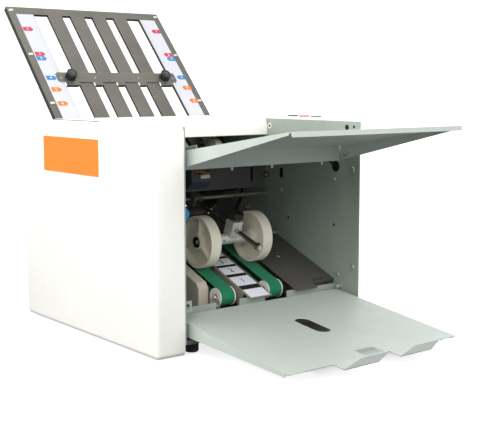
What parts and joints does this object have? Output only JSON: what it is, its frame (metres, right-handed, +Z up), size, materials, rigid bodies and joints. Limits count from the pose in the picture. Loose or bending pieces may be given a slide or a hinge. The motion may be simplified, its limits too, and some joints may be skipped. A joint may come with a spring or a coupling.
{
  "type": "paper folding machine",
  "caption": "Desk-top paper folding machine with side covers, feed and exit trays, slotted upper fold plate, fold rollers and a belt conveyor with stacker wheels",
  "frame": {"origin": "on the floor plane under the middle of the bounding box", "axes": "+X to the machine's right seen from the operator, -Y towards the operator at the feed tray, +Z up"},
  "size_m": [0.462, 0.8482, 0.5532],
  "materials": {
    "cover_paint": "satin",
    "frame_paint": "satin",
    "tray_paint": "satin",
    "dark_steel": "satin",
    "bright_steel": "brushed",
    "grid_steel": "brushed",
    "roller_steel": "satin",
    "cast_alloy": "satin",
    "cream_plastic": "satin",
    "white_plastic": "satin",
    "black_plastic": "satin",
    "slate_plastic": "satin",
    "board_green": "satin",
    "button_green": "satin",
    "button_red": "satin",
    "knob_blue": "satin",
    "wire_sleeve": "satin",
    "rubber": "matte",
    "belt_green": "matte"
  },
  "bodies": {
    "chassis": {"base_pan": "dark_steel", "blue_knob_bracket": "bright_steel", "circuit_board": "board_green", "control_panel": "cover_paint", "conveyor_side_block": "cream_plastic", "cross_panel": "dark_steel", "cross_rod": "bright_steel", "drive_belt": "rubber", "drive_motor": "dark_steel", "exit_deck": "dark_steel", "feed_belt": "rubber", "feed_deck": "tray_paint", "front_cross_member": "tray_paint", "front_left_foot": "rubber", "front_right_foot": "rubber", "left_conveyor_belt": "belt_green", "left_cover": "cover_paint", "left_frame": "frame_paint", "lower_fold_plate": "grid_steel", "power_inlet": "black_plastic", "rear_cover": "cover_paint", "rear_left_foot": "rubber", "rear_right_foot": "rubber", "right_conveyor_belt": "belt_green", "right_cover": "cover_paint", "right_frame": "frame_paint", "scale_rail": "dark_steel", "separator_block": "slate_plastic", "top_cover": "cover_paint", "upper_fold_back": "grid_steel", "upper_fold_grid": "grid_steel", "wiring": "wire_sleeve"},
    "feed_tray_body": {"feed_tray": "tray_paint"},
    "exit_tray_body": {"exit_tray": "tray_paint"},
    "left_guide_body": {"left_feed_guide": "bright_steel"},
    "right_guide_body": {"right_feed_guide": "bright_steel"},
    "upper_stop_body": {"upper_fold_stop": "grid_steel"},
    "left_stop_knob_body": {"left_stop_knob": "black_plastic"},
    "right_stop_knob_body": {"right_stop_knob": "black_plastic"},
    "lower_stop_body": {"lower_fold_stop": "grid_steel"},
    "lower_stop_knob_body": {"lower_stop_knob": "black_plastic"},
    "stacker_arm_body": {"arm_clamp": "dark_steel", "guide_rod": "bright_steel"},
    "carriage_body": {"wheel_carriage": "cast_alloy"},
    "carriage_knob_body": {"carriage_knob": "black_plastic"},
    "left_wheel_body": {"left_stacker_wheel": "cream_plastic"},
    "right_wheel_body": {"right_stacker_wheel": "cream_plastic"},
    "front_conveyor_body": {"front_conveyor_shaft": "white_plastic"},
    "rear_conveyor_body": {"rear_conveyor_shaft": "white_plastic"},
    "feed_shaft_body": {"feed_shaft": "cream_plastic"},
    "main_roller_body": {"main_fold_roller": "roller_steel"},
    "upper_roller_body": {"upper_fold_roller": "roller_steel"},
    "rear_roller_body": {"rear_fold_roller": "roller_steel"},
    "lower_roller_body": {"lower_fold_roller": "roller_steel"},
    "motor_pulley_body": {"motor_pulley": "bright_steel"},
    "start_button_body": {"start_button": "button_green"},
    "stop_button_body": {"stop_button": "button_red"},
    "reset_button_body": {"reset_button": "black_plastic"},
    "power_switch_body": {"power_switch": "black_plastic"},
    "blue_knob_body": {"blue_knob": "knob_blue"}
  },
  "joints": [
    {"name": "feed_tray_lift", "type": "hinge", "parent": "chassis", "child": "feed_tray_body", "pos_m": [0, -0.15476, 0.2874], "axis": [-1, 0, 0], "range_deg": [0, 25]},
    {"name": "exit_tray_lift", "type": "hinge", "parent": "chassis", "child": "exit_tray_body", "pos_m": [0, -0.14683, 0.0424], "axis": [-1, 0, 0], "range_deg": [0, 25]},
    {"name": "left_guide_slide", "type": "slide", "parent": "chassis", "child": "left_guide_body", "axis": [1, 0, 0], "range_m": [-0.045, 0.035]},
    {"name": "right_guide_slide", "type": "slide", "parent": "chassis", "child": "right_guide_body", "axis": [1, 0, 0], "range_m": [-0.035, 0.045]},
    {"name": "upper_stop_slide", "type": "slide", "parent": "chassis", "child": "upper_stop_body", "axis": [0, 0.6756, 0.7373], "range_m": [-0.06, 0.14]},
    {"name": "left_stop_knob_turn", "type": "hinge", "parent": "upper_stop_body", "child": "left_stop_knob_body", "pos_m": [-0.10375, 0.29226, 0.42043], "axis": [0, -0.7373, 0.6756], "range_deg": [0, 270]},
    {"name": "right_stop_knob_turn", "type": "hinge", "parent": "upper_stop_body", "child": "right_stop_knob_body", "pos_m": [0.10375, 0.29226, 0.42043], "axis": [0, -0.7373, 0.6756], "range_deg": [0, 270]},
    {"name": "lower_stop_slide", "type": "slide", "parent": "chassis", "child": "lower_stop_body", "axis": [0, 0.7431, -0.6691], "range_m": [-0.045, 0.045]},
    {"name": "lower_stop_knob_turn", "type": "hinge", "parent": "lower_stop_body", "child": "lower_stop_knob_body", "pos_m": [0, 0.2919, 0.11749], "axis": [0, 0.6691, 0.7431], "range_deg": [0, 270]},
    {"name": "stacker_arm_lift", "type": "hinge", "parent": "chassis", "child": "stacker_arm_body", "pos_m": [0, 0.05874, 0.206], "axis": [-1, 0, 0], "range_deg": [0, 30]},
    {"name": "carriage_slide", "type": "slide", "parent": "stacker_arm_body", "child": "carriage_body", "axis": [0, -0.9432, -0.3322], "range_m": [0, 0.055]},
    {"name": "carriage_knob_turn", "type": "hinge", "parent": "carriage_body", "child": "carriage_knob_body", "pos_m": [0.008, -0.05904, 0.17862], "axis": [0, -0.3322, 0.9432], "range_deg": [0, 270]},
    {"name": "left_wheel_spin", "type": "hinge", "parent": "carriage_body", "child": "left_wheel_body", "pos_m": [-0.054, -0.04825, 0.14799], "axis": [1, 0, 0], "continuous": true},
    {"name": "right_wheel_spin", "type": "hinge", "parent": "carriage_body", "child": "right_wheel_body", "pos_m": [0.054, -0.04825, 0.14799], "axis": [1, 0, 0], "continuous": true},
    {"name": "main_roller_spin", "type": "hinge", "parent": "chassis", "child": "main_roller_body", "pos_m": [0, 0.1348, 0.24938], "axis": [1, 0, 0], "continuous": true},
    {"name": "upper_roller_spin", "type": "hinge", "parent": "chassis", "child": "upper_roller_body", "pos_m": [0, 0.12469, 0.27795], "axis": [1, 0, 0], "continuous": true},
    {"name": "rear_roller_spin", "type": "hinge", "parent": "chassis", "child": "rear_roller_body", "pos_m": [0, 0.16499, 0.25203], "axis": [1, 0, 0], "continuous": true},
    {"name": "lower_roller_spin", "type": "hinge", "parent": "chassis", "child": "lower_roller_body", "pos_m": [0, 0.14006, 0.21955], "axis": [1, 0, 0], "continuous": true},
    {"name": "feed_shaft_spin", "type": "hinge", "parent": "chassis", "child": "feed_shaft_body", "pos_m": [0, 0.08925, 0.28982], "axis": [1, 0, 0], "continuous": true},
    {"name": "rear_conveyor_spin", "type": "hinge", "parent": "chassis", "child": "rear_conveyor_body", "pos_m": [0, 0.09036, 0.13923], "axis": [1, 0, 0], "continuous": true},
    {"name": "front_conveyor_spin", "type": "hinge", "parent": "chassis", "child": "front_conveyor_body", "pos_m": [0, -0.1017, 0.06419], "axis": [1, 0, 0], "continuous": true},
    {"name": "motor_pulley_spin", "type": "hinge", "parent": "chassis", "child": "motor_pulley_body", "pos_m": [0, 0.18674, 0.075], "axis": [1, 0, 0], "continuous": true},
    {"name": "start_button_press", "type": "slide", "parent": "chassis", "child": "start_button_body", "axis": [0, 0, -1], "range_m": [0, 0.0015], "stiffness_N_per_m": 300, "springref_m": -0.001},
    {"name": "stop_button_press", "type": "slide", "parent": "chassis", "child": "stop_button_body", "axis": [0, 0, -1], "range_m": [0, 0.0015], "stiffness_N_per_m": 300, "springref_m": -0.001},
    {"name": "reset_button_press", "type": "slide", "parent": "chassis", "child": "reset_button_body", "axis": [0, 0, -1], "range_m": [0, 0.0015], "stiffness_N_per_m": 300, "springref_m": -0.001},
    {"name": "power_switch_rock", "type": "hinge", "parent": "chassis", "child": "power_switch_body", "pos_m": [0.12, 0.23275, 0.09], "axis": [1, 0, 0], "range_deg": [0, 20]},
    {"name": "blue_knob_turn", "type": "hinge", "parent": "chassis", "child": "blue_knob_body", "pos_m": [-0.1625, -0.15176, 0.2125], "axis": [0, 1, 0], "range_deg": [0, 270]}
  ],
  "couplings": [
    {"joint": "right_guide_slide", "follows": "left_guide_slide", "ratio": -1},
    {"joint": "upper_roller_spin", "follows": "main_roller_spin", "ratio": -1},
    {"joint": "rear_roller_spin", "follows": "main_roller_spin", "ratio": -1},
    {"joint": "lower_roller_spin", "follows": "main_roller_spin", "ratio": -1},
    {"joint": "feed_shaft_spin", "follows": "main_roller_spin", "ratio": -1},
    {"joint": "rear_conveyor_spin", "follows": "main_roller_spin", "ratio": -1},
    {"joint": "front_conveyor_spin", "follows": "main_roller_spin", "ratio": -1},
    {"joint": "motor_pulley_spin", "follows": "main_roller_spin", "ratio": -1.6}
  ]
}
